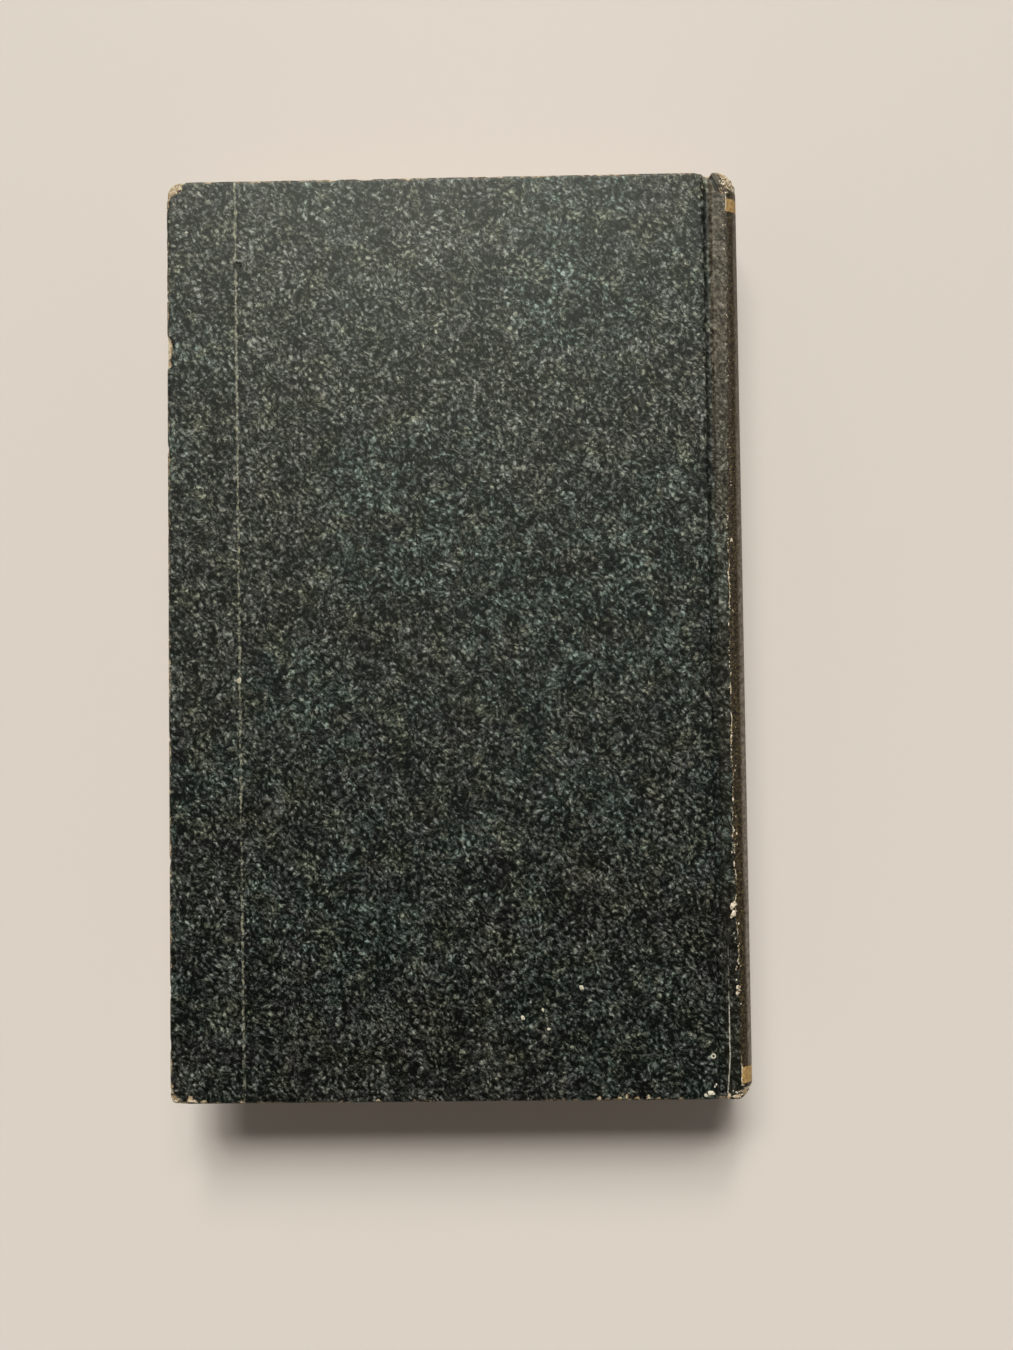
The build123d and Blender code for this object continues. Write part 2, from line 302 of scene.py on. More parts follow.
def half_covering(columns, rows, margin, fineness):
    """Points, faces and flat coordinates of the covering over one board, its joint and half the spine.
    The flat of the board is a grid of columns by rows, fine near its edges and coarser inside."""
    coarse, nearly = 4, 0.01
    x0, y0, y1 = fore_x + edge_radius, edge_radius - head_y, head_y - edge_radius
    xs, ys = np.linspace(x0, flat_end_x, columns + 1), np.linspace(y0, y1, rows + 1)
    points, flat, faces, place = [], [], [], {}

    def rounded(x, y):
        """A grid point moved in from a square corner to the round one, and the way out there."""
        for corner_y, way, radius in ((y1, 1, head_corner), (y0, -1, tail_corner)):
            r = radius - edge_radius
            dx, dy = x0 + r - x, way * (y - corner_y) + r
            if dx > 0 and dy > 0:
                share = max(dx, dy) / math.hypot(dx, dy)
                out = np.array([-dx, way * dy]) / math.hypot(dx, dy)
                return x0 + r - dx * share, corner_y + way * (dy * share - r), out
        return x, y, None

    def vertex(i, j):
        if (i, j) not in place:
            x, y, _ = rounded(xs[i], ys[j])
            place[i, j] = len(points)
            points.append((x, y, top))
            flat.append((x, y))
        return place[i, j]

    def fine(i, j):
        return not (margin <= i < columns - coarse and margin <= j < rows - margin)

    def corners_beside(i, j):
        """Steps along one side of a coarse face: each corner of a fine neighbour, or only the first."""
        return range(coarse) if fine(i, j) else (0,)

    for i in range(0, columns, coarse):
        for j in range(0, rows, coarse):
            if fine(i, j):
                for a in range(i, i + coarse):
                    for b in range(j, j + coarse):
                        corners = ((a, b), (a + 1, b), (a + 1, b + 1), (a, b + 1))
                        faces.append(tuple(vertex(*p) for p in corners))
                continue
            ring = [(i + k, j) for k in corners_beside(i, j - 1)]
            ring += [(i + coarse, j + k) for k in corners_beside(i + coarse, j)]
            ring += [(i + coarse - k, j + coarse) for k in corners_beside(i, j + coarse)]
            ring += [(i, j + coarse - k) for k in corners_beside(i - 1, j)]
            faces.append(tuple(vertex(*p) for p in ring))

    section = covering_section(fineness)
    length = lengths(section)
    sweep = [[vertex(columns, j) for j in range(rows + 1)]]
    for (x, z), s in zip(section[1:], length[1:]):
        sweep.append(list(range(len(points), len(points) + rows + 1)))
        points += [(x, y, z) for y in ys]
        flat += [(flat_end_x + s, y) for y in ys]
    for a, b in zip(sweep, sweep[1:]):
        for j in range(rows):
            faces.append((a[j], b[j], b[j + 1], a[j + 1]))

    # Border of the outer face, from the middle of the spine at the tail round to the same at the head
    tangent = np.gradient(section, axis=0)
    tangent /= np.hypot(*tangent.T)[:, None]
    past_groove = section[:, 0] > joint_x
    down = np.where(past_groove[:, None], np.stack([tangent[:, 1], -tangent[:, 0]], 1), [[0, -1]])
    fold = step_up(0, edge_radius, length)
    groove_fold = 0.5
    depth = groove_fold + (fold_depth - groove_fold) * step_up(joint_x, joint_x + 2, section[:, 0])
    board_edge = [(i, 0) for i in range(columns, 0, -1)]
    board_edge += [(0, j) for j in range(rows + 1)]
    board_edge += [(i, rows) for i in range(1, columns + 1)]
    spine_steps = range(1, len(section))
    border = [(sweep[c][0], (0, -1), down[c], fold[c], depth[c]) for c in reversed(spine_steps)]
    border += [(place[i, j], rounded(xs[i], ys[j])[2], (0, -1), 0, 1) for i, j in board_edge]
    border += [(sweep[c][rows], (0, 1), down[c], fold[c], depth[c]) for c in spine_steps]
    out, drop, fold_out, fold_drop = edge_profiles()

    def turned_edge(k, share, deep):
        """How far out and down step k of the turned edge lies, from a board's to the spine's fold."""
        if k < 0:
            return 0.0, 0.0
        outward = out[k] * (1 - share) + fold_out[k] * share
        return outward, drop[k] * (1 - share) + fold_drop[k] * deep * share

    run = [0.0] * len(border)
    rings = [[b[0] for b in border]]
    for k in range(len(out)):
        ring = []
        for n, (base, way, below, share, deep) in enumerate(border):
            p, f = np.array(points[base]), np.array(flat[base])
            if way is None:
                beside = p[0] < x0 + nearly and abs(p[1]) < y1 - nearly
                way = (-1, 0) if beside else (0, math.copysign(1, p[1]))
            outward, fall = turned_edge(k, share, deep)
            outward_before, fall_before = turned_edge(k - 1, share, deep)
            run[n] += math.hypot(outward - outward_before, fall - fall_before)
            q = p + np.array([way[0], way[1], 0]) * outward + np.array([below[0], 0, below[1]]) * fall
            if outward < 0:
                q[1] = np.clip(q[1], y0 - outward, y1 + outward)
                if share == 0:
                    q[0] = max(q[0], x0 - outward)
            ring.append(len(points))
            points.append(tuple(q))
            flat.append(tuple(f + np.array(way) * run[n]))
        rings.append(ring)
    for a, b in zip(rings, rings[1:]):
        for k in range(len(border) - 1):
            faces.append((a[k], a[k + 1], b[k + 1], b[k]))
    points, flat = np.array(points), np.array(flat)
    points[:, 1] += worn_ends(flat[:, 0], points[:, 1])
    return points, faces, flat


# Wear of the back cover and spine: flat place, half sizes and strength of each rubbed or torn spot
back_spots = [
    (-58.4, 93.8, 3.1, 2.7, 0.84), (-59.4, 92.2, 1.5, 2.4, 0.8), (-56.9, 94.8, 2.4, 0.9, 0.75),
    (-58.8, -94.3, 2.2, 2, 0.76), (-57, -94.9, 2.2, 0.8, 0.78), (-59.4, -92, 0.9, 2.2, 0.75),
    (-59.7, 59.9, 1.9, 3.9, 0.95), (-59.5, 56.6, 1.5, 1.1, 1), (-59.85, 39, 0.9, 1.2, 0.95),
    (-59.95, 84, 0.8, 1.5, 0.75), (-59.95, 78.5, 0.8, 3.6, 0.75), (-59.95, 71, 0.7, 1.6, 0.7),
    (-59.95, 22, 0.8, 1.4, 0.75), (-59.95, -46, 0.8, 2.4, 0.7), (-59.95, -72, 0.9, 4.5, 0.75),
    (-59.95, -83, 0.9, 2, 0.85), (-59.95, 8, 0.7, 3, 0.65), (-59.95, -20, 0.7, 2, 0.65),
    (-55.4, -93.8, 0.9, 1, 0.9), (-54.5, -94.4, 0.8, 0.7, 0.9), (-52.6, -94.6, 1, 0.7, 1.1),
    (-49.9, -94.8, 0.5, 0.4, 1), (-44.9, -94.6, 0.8, 0.5, 1.05), (-46.5, -94.9, 0.5, 0.4, 0.8),
    (-23, -95, 0.8, 0.6, 0.85), (-17.1, -94.7, 0.7, 0.7, 1), (-4.5, -95.1, 1.4, 0.6, 0.7),
    (8.5, -95.1, 1.6, 0.6, 0.65), (22.8, -94.9, 1, 0.7, 0.9), (27.6, -94.5, 0.6, 0.8, 0.95),
    (29.2, -94.8, 0.7, 0.6, 0.95), (31.7, -94.6, 0.8, 0.8, 1), (33.2, -94.2, 0.5, 0.8, 0.9),
    (35.4, -94.6, 0.8, 0.8, 1), (37.6, -94.3, 0.5, 1, 0.95), (39.6, -94.8, 0.6, 0.8, 1),
    (41.2, -94.9, 0.7, 0.6, 0.95), (44.2, -94.7, 0.9, 0.6, 0.85), (47.9, -94.9, 0.8, 0.6, 0.9),
    (-24.5, 95.1, 1.8, 0.8, 0.75), (-18, 95.1, 2.6, 0.9, 0.75), (-9, 94.9, 0.5, 1.3, 0.8),
    (-13.5, 95.1, 1.6, 0.7, 0.7), (8.5, 95.2, 2.5, 0.6, 0.62), (30.5, 95.2, 3, 0.6, 0.6),
    (57.2, 94.6, 2.3, 1.6, 0.95), (57.4, 92.9, 1.7, 1.6, 0.86), (59.2, 93.6, 1.5, 2, 0.8),
    (62.5, 95, 2.6, 0.9, 0.8), (51.9, 92.6, 0.35, 0.9, 0.8), (56.2, 91.2, 0.8, 1.4, 0.68),
    (54.4, -94.3, 0.7, 0.9, 1), (56.2, -94.4, 1.3, 0.9, 0.85), (58.2, -94.2, 1.7, 1.1, 0.82),
    (60.4, -94.3, 2, 1.4, 0.8), (59.2, -92.7, 0.9, 0.8, 0.7), (52.6, -94.9, 0.8, 0.5, 0.85),
]


def wear_of(flat, spots, base, seed):
    """How far each point of a covering is rubbed through: 0 whole, 0.5 brown, 1 torn."""
    u, v = flat.T
    beside, beyond = fore_x + edge_radius - u, np.abs(v) - head_y + edge_radius
    past = np.maximum(beside, beyond)
    along = np.where(beside > beyond, v, u + 400)
    # Rubbed most along both rims of each turned edge, and more at the head and the fore edge
    upper = np.exp(-(((past - 0.55) / 0.62) ** 2))
    lower = 0.8 * np.exp(-(((past - 3) / 0.5) ** 2))
    rough = 0.5 * wander(along, 3.1, seed) + 0.35 * wander(along, 0.9, seed + 1)
    base = base + 0.14 * (v > head_y - 1.2) + 0.07 * (beside > beyond)
    rough = rough + 0.2 * patches(u, v, 0.5, seed + 2)
    wear = (upper + lower) * np.clip(base + 0.42 * rough, 0, 1)
    for x, y, rx, ry, strength in spots:
        near = 1 - np.hypot((u - x) / rx, (v - y) / ry)
        wear = np.maximum(wear, strength * np.clip(2 * near, 0, 1))
    return wear + 0.18 * patches(u, v, 0.6, seed + 3) * step_up(0.15, 0.4, wear)


# Materials

class Nodes:
    """A node tree, with short ways to add the nodes that it needs."""

    def __init__(self, tree):
        self.tree = tree

    def node(self, kind, inputs=(), **settings):
        """A node with its settings, and each input linked to a socket or set to a value."""
        made = self.tree.nodes.new("ShaderNode" + kind)
        for key, value in settings.items():
            setattr(made, key, value)
        for key, value in inputs:
            if isinstance(value, bpy.types.NodeSocket):
                self.tree.links.new(value, made.inputs[key])
            else:
                made.inputs[key].default_value = value
        return made

    def flat(self):
        """Flat coordinates of the sheet in millimetres."""
        uv = self.node("UVMap", uv_map="flat").outputs[0]
        return self.scaled(self.moved(uv, (-0.5, -0.5, 0)), (SHEET, SHEET, 1))

    def place(self):
        """Coordinates of the piece in millimetres."""
        return self.scaled(self.node("TexCoord").outputs["Object"], (1 / MM,) * 3)

    def vector(self, operation, *inputs):
        return self.node("VectorMath", inputs, operation=operation).outputs[0]

    def scaled(self, vector, by):
        return self.vector("MULTIPLY", (0, vector), (1, by))

    def moved(self, vector, by):
        return self.vector("ADD", (0, vector), (1, by))

    def dimmed(self, colour, by):
        return self.vector("SCALE", (0, colour), ("Scale", by))

    def turned(self, vector, degrees):
        inputs = [("Vector", vector), ("Angle", math.radians(degrees))]
        return self.node("VectorRotate", inputs, rotation_type="Z_AXIS").outputs[0]

    def apart(self, vector):
        return self.node("SeparateXYZ", [(0, vector)]).outputs

    def noise(self, vector, scale, detail, roughness=0.5, dimensions="2D", colour=False, seed=0.0):
        vector = self.moved(vector, (seed, seed * 0.7, seed * 0.4))
        inputs = [("Vector", vector), ("Scale", scale), ("Detail", detail), ("Roughness", roughness)]
        made = self.node("TexNoise", inputs, noise_dimensions=dimensions)
        return made.outputs["Color" if colour else "Fac"]

    def dabs(self, vector, scale, seed):
        """Scattered dabs: how far the middle of the nearest one is, and three random numbers of it."""
        inputs = [("Vector", self.moved(vector, (seed, -seed, 0))), ("Scale", scale)]
        made = self.node("TexVoronoi", inputs, voronoi_dimensions="2D")
        return made.outputs["Distance"], self.apart(made.outputs["Color"])

    def math(self, operation, *values):
        return self.node("Math", enumerate(values), operation=operation).outputs[0]

    def minus(self, a, b):
        return self.math("SUBTRACT", a, b)

    def times(self, *values):
        return reduce(lambda a, b: self.math("MULTIPLY", a, b), values)

    def plus(self, *values):
        return reduce(lambda a, b: self.math("ADD", a, b), values)

    def ramp(self, value, low, high, start=0.0, end=1.0):
        """Smooth step of a value between two limits."""
        inputs = [("Value", value), ("From Min", low), ("From Max", high)]
        inputs += [("To Min", start), ("To Max", end)]
        return self.node("MapRange", inputs, interpolation_type="SMOOTHSTEP").outputs["Result"]

    def mix(self, share, a, b):
        """Mix of two colours, each a socket or three numbers."""
        a, b = [(*c, 1) if isinstance(c, tuple) else c for c in (a, b)]
        return self.node("Mix", [(0, share), (6, a), (7, b)], data_type="RGBA").outputs[2]

    def wear(self):
        return self.node("Attribute", attribute_name="wear").outputs["Fac"]

    def off(self, value, middle):
        """How far a value is from a middle one."""
        return self.math("ABSOLUTE", self.minus(value, middle))

    def line(self, across, middle, half):
        """1 on a line across which a value runs, falling to 0 at half its width."""
        return self.ramp(self.off(across, middle), half, half * 0.35)

    def shake(self, vector, scale, reach, seed):
        """A random number about 0, for uneven lines."""
        return self.times(self.minus(self.noise(vector, scale, 2, 0.6, seed=seed), 0.5), reach)

    def blotch(self, vector, scale, detail, roughness, seed, low, high, start=0.0, end=1.0):
        """Random patches, their edges between two limits of the noise."""
        return self.ramp(self.noise(vector, scale, detail, roughness, seed=seed), low, high, start, end)


class Paint(Nodes):
    """A node material."""

    def __init__(self, name, roughness, specular):
        self.material = bpy.data.materials.new(name)
        self.material.use_nodes = True
        super().__init__(self.material.node_tree)
        self.shader = self.tree.nodes["Principled BSDF"]
        self.shader.inputs["Roughness"].default_value = roughness
        self.shader.inputs["Specular IOR Level"].default_value = specular

    def finish(self, colour, roughness=None, height=None, depth=0.0001):
        self.tree.links.new(colour, self.shader.inputs["Base Color"])
        if roughness is not None:
            self.tree.links.new(roughness, self.shader.inputs["Roughness"])
        if height is not None:
            bump = self.node("Bump", [("Height", height), ("Strength", 1.0), ("Distance", depth)])
            self.tree.links.new(bump.outputs[0], self.shader.inputs["Normal"])
        return self.material


def cover_marks(p, sheet, colour, height, fade_and_light):
    """Colour and height of the back covering with its old marks, and painted shade in a crease at its head.
    """
    u, v, _ = p.apart(sheet)
    # Pale line where the edge of the turn-in shows through, broken up along its length
    bent = p.plus(u, p.times(v, 0.0045), p.shake(sheet, 0.5, 0.9, 91))
    on_line = p.line(bent, turn_in_u, 0.32)
    broken = p.blotch(sheet, 1.1, 3, 0.7, 95, 0.42, 0.62)
    whole = p.ramp(v, 0, 60, 0.1, 0.4)
    crease = p.times(on_line, p.math("MAXIMUM", broken, whole), p.ramp(v, -95, 20, 0.42, 0.6))
    line_colour = p.mix(broken, (0.18, 0.18, 0.148), (0.305, 0.296, 0.206))
    # The line brightens towards the head with the paper around it: partly fading, partly painted light
    colour = p.mix(crease, colour, p.dimmed(line_colour, fade_and_light))
    height = p.plus(height, p.times(on_line, 0.5))
    # Short dark nick across that line near the head, with a scratch above it
    ragged = p.plus(v, p.shake(sheet, 1.2, 0.9, 97))
    nick = p.times(p.line(ragged, nick_v, 0.95), p.line(u, -44.8, 1.15))
    colour = p.mix(nick, colour, (0.01, 0.009, 0.007))
    scratch = p.times(p.line(ragged, scratch_v, 0.3), p.line(u, -44.5, 1.9))
    colour = p.mix(p.times(scratch, 0.7), colour, (0.27, 0.26, 0.22))
    height = p.minus(height, p.times(nick, 2))
    # Split in the joint near the tail, its torn edge pale and beaded
    lean = p.ramp(v, -86, -95, 0, 0.62)
    split = p.line(p.plus(u, lean, p.shake(sheet, 0.5, 0.3, 121)), split_u, 0.17)
    beads = p.blotch(sheet, 1.6, 2, 0.7, 123, 0.36, 0.6, 0.3, 1)
    torn = p.times(split, beads, p.ramp(v, -75.4, -76.6))
    patchy = p.blotch(sheet, 0.5, 2, 0.5, 125, 0.4, 0.6)
    hair = p.times(split, p.ramp(v, -62, -68), patchy, 0.3)
    open_line = p.math("MAXIMUM", torn, hair)
    colour = p.mix(open_line, colour, (0.56, 0.53, 0.44))
    height = p.plus(height, open_line)
    # Painted shade in a short crease across the head of the shoulder, pressed in as a dent
    head_crease_shade = p.line(p.plus(u, p.times(v, 0.46), p.shake(sheet, 0.8, 0.4, 127)), 97.3, 0.5)
    head_crease_shade = p.times(head_crease_shade, p.ramp(v, 90.2, 91))
    colour = p.mix(p.times(head_crease_shade, 0.9), colour, (0.014, 0.014, 0.016))
    height = p.minus(height, p.times(head_crease_shade, 2))
    return colour, height


def rubbed_through(p, sheet, colour, rough, height):
    """Colour, roughness and height where worn: first brown, then bare tan board and torn cream paper."""
    coarse = p.shake(sheet, 1.5, 0.9, 101)
    finer = p.shake(sheet, 3.4, 1.1, 103)
    wear = p.wear()
    worn = p.plus(wear, p.times(p.plus(coarse, finer), p.ramp(wear, 0.1, 0.4)))
    brown = p.ramp(worn, 0.42, 0.52)
    bare = p.ramp(worn, 0.6, 0.72)
    dark_or_tan = p.blotch(sheet, 1, 2, 0.5, 111, 0.35, 0.65)
    tan_or_cream = p.blotch(sheet, 1.1, 3, 0.6, 117, 0.38, 0.6)
    colour = p.mix(brown, colour, p.mix(dark_or_tan, (0.07, 0.048, 0.03), (0.27, 0.19, 0.115)))
    colour = p.mix(bare, colour, p.mix(tan_or_cream, (0.36, 0.25, 0.135), (0.62, 0.54, 0.38)))
    rough = p.plus(rough, p.times(brown, 0.35))
    height = p.minus(height, p.times(brown, 0.8))
    return colour, rough, height


def cover_paper_paint(name, marked):
    """Dark green-grey paper with dense pale dabs that brighten towards the head, partly with painted light,
    rubbed through to brown and cream where worn.
    """
    tail_dim_span = (-75, 0)
    p = Paint(name, 0.42, 0.272)
    p.shader.inputs["Specular Tint"].default_value = (0.93, 1, 0.87, 1)
    sheet = p.flat()
    u, v, _ = p.apart(sheet)
    # Dabs drawn out along one slant, pushed about so that none is quite round, over a soft cloudy ground
    swirl = p.scaled(p.noise(sheet, 0.16, 1, colour=True, seed=3), (2, 2, 0))
    curl = p.scaled(p.noise(sheet, 1.2, 2, colour=True, seed=9), (0.7, 0.7, 0))
    slanted = p.scaled(p.turned(p.moved(p.moved(sheet, swirl), curl), 45), (0.76, 1, 1))
    far, (bright, hue, _) = p.dabs(slanted, 1.05, 33)
    near, (small_bright, _, _) = p.dabs(slanted, 2, 47)
    large = p.times(p.ramp(far, 0.66, 0.05), p.ramp(bright, 0, 1, 0.34, 1))
    small = p.times(p.ramp(near, 0.62, 0.05), p.ramp(small_bright, 0, 1, 0.2, 0.8))
    cloud = p.times(p.minus(p.noise(slanted, 1.15, 3, 0.85, seed=41), 0.5), 1.75)
    clump = p.shake(slanted, 0.42, 0.55, 27)
    drift = p.shake(sheet, 0.13, 0.42, 21)
    # Painted light: the dabs rise towards the head and sink towards the tail, for the window's sheen beyond
    # the head
    lowest = p.ramp(v, *tail_dim_span, 0.17, 0.23)
    level = p.plus(p.times(large, 0.42), p.times(small, 0.36), cloud, clump, drift, lowest)
    level = p.math("MINIMUM", p.math("MAXIMUM", level, 0), 1)
    fleck = p.math("POWER", level, p.ramp(v, -90, 40, 2.95, 2.8))
    # Colours drift between teal, grey, olive and violet in patches, and from dab to dab
    teal_along = p.plus(p.ramp(v, 85, 25, -0.03, 0.05), p.ramp(v, -45, -90, 0, -0.06))
    teal = p.plus(p.noise(sheet, 0.028, 2, 0.55, seed=61), teal_along)
    teal = p.ramp(teal, 0.38, 0.64)
    olive = p.blotch(sheet, 0.13, 3, 0.6, 71, 0.5, 0.66)
    violet = p.blotch(sheet, 0.12, 2, 0.6, 79, 0.52, 0.68)
    pale = p.mix(teal, (0.197, 0.211, 0.181), (0.178, 0.227, 0.196))
    pale = p.mix(p.times(olive, 0.65), pale, (0.22, 0.229, 0.158))
    pale = p.mix(p.times(violet, 0.38), pale, (0.187, 0.18, 0.178))
    pale = p.mix(p.times(p.ramp(hue, 0.6, 0.95), 0.42), pale, (0.228, 0.21, 0.161))
    ground = p.mix(teal, (0.002, 0.0025, 0.0018), (0.0016, 0.0031, 0.0023))
    ground = p.mix(p.times(violet, 0.7), ground, (0.0028, 0.0025, 0.0027))
    # Pale colours brighter towards the head and darker towards the tail: partly fading of the paper, partly
    # painted light of the window beyond the head
    fade_and_light = p.times(p.ramp(v, -30, 95, 1.42, 2.06), p.ramp(v, -95, -50, 0.87, 1))
    fade_and_light = p.times(fade_and_light, p.ramp(v, *tail_dim_span, 1.17, 1))
    colour = p.mix(fleck, ground, p.dimmed(pale, fade_and_light))
    # The paper is more matt towards the tail
    p.tree.links.new(p.ramp(v, *tail_dim_span, 0.14, 0.272), p.shader.inputs["Specular IOR Level"])
    fibre = p.noise(sheet, 6, 2, 0.6, seed=81)
    rough = p.ramp(fibre, 0.2, 0.8, 0.36, 0.48)
    height = p.plus(p.times(fleck, 0.35), p.times(fibre, 0.2))
    # The shoulder of the spine is greyer and browner than the boards near the head, darker near the tail
    shoulder = p.ramp(u, 53.1, 53.7)
    dust = p.math("MINIMUM", p.times(level, 0.9), 1)
    dusty = p.mix(dust, (0.02, 0.014, 0.009), (0.252, 0.204, 0.142))
    colour = p.mix(p.times(shoulder, p.ramp(v, -10, 90, 0.1, 0.75)), colour, dusty)
    colour = p.mix(p.times(shoulder, p.ramp(v, 20, -50, 0, 0.35)), colour, (0.008, 0.007, 0.005))
    # Painted shade along the bottom of the groove, strongest towards the head and gone at its very end
    groove = p.times(p.line(u, groove_u, 0.9), p.ramp(v, -70, 30, 0.1, 0.43), p.ramp(v, 92.5, 86.5))
    colour = p.mix(groove, colour, (0.006, 0.006, 0.005))
    if marked:
        colour, height = cover_marks(p, sheet, colour, height, fade_and_light)
    return p.finish(*rubbed_through(p, sheet, colour, rough, height), 0.00008)


def label_paint():
    """Dark brown label flecked with dull gold, greyer over its rounded back where rubbed and with painted
    reflection growing towards the tail, with an ochre band near each end.
    """
    p = Paint("label_paper", 0.5, 0.28)
    sheet = p.flat()
    u, v, _ = p.apart(sheet)
    grain = p.noise(sheet, 1.3, 3, 0.65, seed=5)
    colour = p.mix(p.ramp(grain, 0.35, 0.7), (0.01, 0.007, 0.004), (0.05, 0.036, 0.018))
    gold = p.blotch(sheet, 2.2, 2, 0.6, 9, 0.58, 0.72)
    colour = p.mix(p.times(gold, 0.7), colour, (0.17, 0.135, 0.048))
    # Greyer over the rounded back: partly rubbing, partly painted reflection of the floor, growing towards
    # the tail
    rubbed = p.times(p.ramp(u, 1.7, 2.6), p.blotch(sheet, 0.8, 5, 0.75, 12, 0.2, 0.75))
    colour = p.mix(p.times(rubbed, p.ramp(v, 90, -60, 0.45, 0.85)), colour, (0.285, 0.236, 0.186))
    wavy = p.plus(v, p.shake(sheet, 0.8, 0.5, 19))
    mottle = p.blotch(sheet, 1, 3, 0.7, 23, 0.3, 0.7)
    ochre = p.mix(mottle, (0.25, 0.155, 0.05), (0.47, 0.3, 0.115))
    for middle, half in label_bands:
        colour = p.mix(p.ramp(p.off(wavy, middle), half + 0.1, half - 0.1), colour, ochre)
    wear = p.wear()
    uneven = p.plus(p.shake(sheet, 1.4, 0.9, 31), p.shake(sheet, 3.4, 0.9, 33))
    torn = p.plus(wear, p.times(uneven, p.ramp(wear, 0.1, 0.35)))
    cream = p.blotch(sheet, 1.1, 2, 0.5, 37, 0.35, 0.6)
    pale = p.mix(cream, (0.36, 0.255, 0.12), (0.74, 0.67, 0.51))
    colour = p.mix(p.ramp(torn, 0.58, 0.7), colour, pale)
    rough = p.ramp(grain, 0.2, 0.8, 0.42, 0.6)
    return p.finish(colour, rough, p.noise(sheet, 3, 3, 0.6, seed=43), 0.00004)


def paper_paint(name, pale, stained, edges=False, sheet=False):
    """Yellowed paper. Cut edges darken from leaf to leaf, and a bending sheet uses its flat coordinates."""
    p = Paint(name, 0.85, 0.15)
    spot = p.flat() if sheet else p.place()
    age = p.noise(spot, 0.03, 4, 0.65, "3D")
    fibre = p.noise(spot, 2.5, 3, 0.6, "3D")
    colour = p.mix(p.ramp(age, 0.35, 0.7), pale, stained)
    colour = p.mix(p.times(p.ramp(fibre, 0.55, 0.8), 0.25), colour, tuple(0.6 * c for c in stained))
    height = fibre
    if edges:
        lines = p.noise(p.scaled(spot, (0.06, 0.06, 4.5)), 1, 2, 0.6, "3D")
        colour = p.mix(p.times(p.ramp(lines, 0.62, 0.36), 0.5), colour, tuple(0.45 * c for c in stained))
        height = p.plus(height, lines)
    return p.finish(colour, None, height, 0.00005)


def board_paint():
    """Brown pulp board with flecks of fibre."""
    p = Paint("board", 0.9, 0.1)
    fibre = p.noise(p.scaled(p.place(), (1, 1, 3)), 1.2, 4, 0.7, "3D")
    colour = p.mix(p.ramp(fibre, 0.35, 0.7), (0.2, 0.125, 0.065), (0.42, 0.3, 0.18))
    return p.finish(colour, None, fibre)


def gauze_paint():
    """Open cotton weave stiffened with glue."""
    p = Paint("gauze", 0.8, 0.15)
    spot = p.place()
    across, along, _ = p.apart(spot)

    def thread(value):
        return p.math("ABSOLUTE", p.math("SINE", p.times(value, 3.1)))

    weave = p.math("MAXIMUM", thread(across), thread(along))
    glue = p.noise(spot, 0.3, 3, 0.6, "3D")
    colour = p.mix(p.ramp(weave, 0.55, 0.95), (0.34, 0.26, 0.15), (0.66, 0.6, 0.48))
    colour = p.mix(p.times(p.ramp(glue, 0.5, 0.7), 0.4), colour, (0.42, 0.3, 0.15))
    return p.finish(colour, None, weave)


def band_paint():
    """Cotton headband in two alternating colours."""
    p = Paint("band_cloth", 0.75, 0.2)
    spot = p.place()
    _, _, up = p.apart(spot)
    wave = p.math("SINE", p.times(up, 2 * math.pi / 1.5))
    fibre = p.noise(spot, 3, 2, 0.6, "3D")
    colour = p.mix(p.ramp(wave, -0.15, 0.15), (0.56, 0.47, 0.32), (0.2, 0.085, 0.05))
    colour = p.mix(p.times(fibre, 0.5), colour, (0.3, 0.22, 0.13))
    return p.finish(colour, None, fibre, 0.00006)


def flake_paint(name, first, second, roughness, scale):
    """A small flake's colour, mottled between two shades."""
    p = Paint(name, roughness, 0.25)
    mottle = p.noise(p.place(), scale, 3, 0.6, "3D")
    return p.finish(p.mix(p.ramp(mottle, 0.35, 0.62), first, second), None, mottle, 0.00005)


back_paper = cover_paper_paint("back_cover_paper", True)
front_paper = cover_paper_paint("front_cover_paper", False)
label_material = label_paint()
pages_material = paper_paint("pages", (0.6, 0.5, 0.34), (0.45, 0.335, 0.19), edges=True)
endpaper_shades = ((0.66, 0.58, 0.44), (0.55, 0.44, 0.29))
endpaper = paper_paint("endpaper", *endpaper_shades)
fold_paper = paper_paint("endpaper_fold", *endpaper_shades, sheet=True)
board = board_paint()
gauze = gauze_paint()
band_cloth = band_paint()
flake_material = flake_paint("torn_paper", (0.27, 0.185, 0.105), (0.78, 0.7, 0.55), 0.8, 1.6)
spot_material = flake_paint("spots", (0.4, 0.37, 0.26), (0.74, 0.7, 0.56), 0.6, 1.8)
dull_material = flake_paint("crease_flecks", (0.13, 0.13, 0.09), (0.36, 0.345, 0.25), 0.7, 2.2)


# Covering over each board and half of the spine

def covering_piece(name, spots, base, seed, counts, material, below):
    """One half of the covering, worn, as a mesh: over the back board, or turned over for the front."""
    points, faces, flat = half_covering(*counts)
    wear = wear_of(flat, spots, base, seed)
    if below:
        points, faces = turned_over(points, faces)
    piece = make_piece(name, points, faces, material, flat, wear)
    normals = np.empty(len(points) * 3, np.float32)
    piece.data.vertices.foreach_get("normal", normals)
    sunk = worn_depth * step_up(0.42, 0.72, wear)
    moved = points - normals.reshape(-1, 3) * sunk[:, None]
    piece.data.vertices.foreach_set("co", (moved * MM).astype(np.float32).ravel())
    piece.data.update()
    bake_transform(piece)
    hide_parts("front_cover_paper" if below else "back_cover_paper", "spine_cover_paper")


